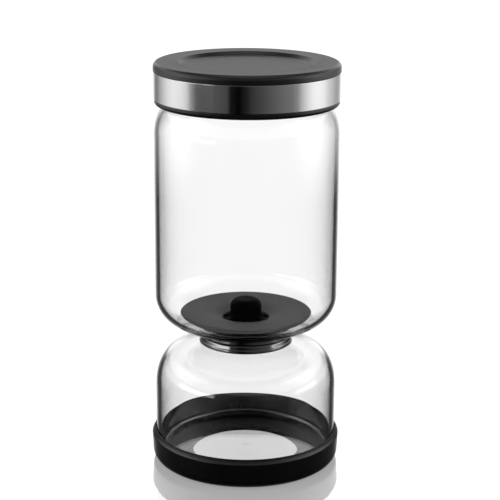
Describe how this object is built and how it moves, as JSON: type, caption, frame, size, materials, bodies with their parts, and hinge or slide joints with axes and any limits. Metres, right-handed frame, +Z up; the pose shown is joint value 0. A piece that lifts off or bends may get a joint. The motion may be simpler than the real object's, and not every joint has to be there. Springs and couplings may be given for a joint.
{
  "type": "pickle keeper",
  "caption": "Glass pickle keeper in two chambers joined at a narrow waist, with a lift-out strainer, a black lid with a steel band and a soft boot.",
  "frame": {"origin": "middle of the boot's underside, on the surface it stands on", "axes": "+Z up along the axis of both glass chambers, -Y towards the front, +X to the right seen from the front"},
  "size_m": [0.1048, 0.1048, 0.2243],
  "materials": {
    "boot_silicone": "satin black silicone",
    "clear_glass": "clear blown borosilicate glass",
    "waist_plastic": "glossy black moulded plastic",
    "seal_silicone": "smooth black silicone",
    "strainer_plastic": "fine matte charcoal plastic",
    "grip_plastic": "smooth black plastic",
    "lid_plastic": "fine matte black plastic",
    "brushed_band": "steel brushed round the band"
  },
  "bodies": {
    "lower": {"foot_boot": "boot_silicone", "lower_jar": "clear_glass", "neck_ring": "waist_plastic"},
    "seal": {"neck_seal": "seal_silicone"},
    "upper": {"clamp_nut": "waist_plastic", "outer_gasket": "seal_silicone", "upper_jar": "clear_glass", "inner_gasket": "seal_silicone", "drain_stem": "waist_plastic"},
    "strainer": {"strainer_plate": "strainer_plastic", "strainer_grip": "grip_plastic"},
    "lid": {"lid_body": "lid_plastic", "lid_seal": "seal_silicone", "lid_band": "brushed_band", "lid_cap": "lid_plastic"}
  },
  "joints": [
    {"name": "seal_rise", "type": "slide", "parent": "lower", "child": "seal", "axis": [0, 0, 1], "range_m": [0, 0.004]},
    {"name": "unscrew", "type": "hinge", "parent": "seal", "child": "upper", "pos_m": [0, 0, 0.0724], "axis": [0, 0, 1], "range_deg": [0, 120]},
    {"name": "strainer_lift", "type": "slide", "parent": "upper", "child": "strainer", "axis": [0, 0, 1], "range_m": [0, 0.108]},
    {"name": "lid_lift", "type": "slide", "parent": "upper", "child": "lid", "axis": [0, 0, 1], "range_m": [0, 0.08]}
  ],
  "couplings": [
    {"joint": "seal_rise", "follows": "unscrew", "m_per_rad": 0.0019099}
  ]
}
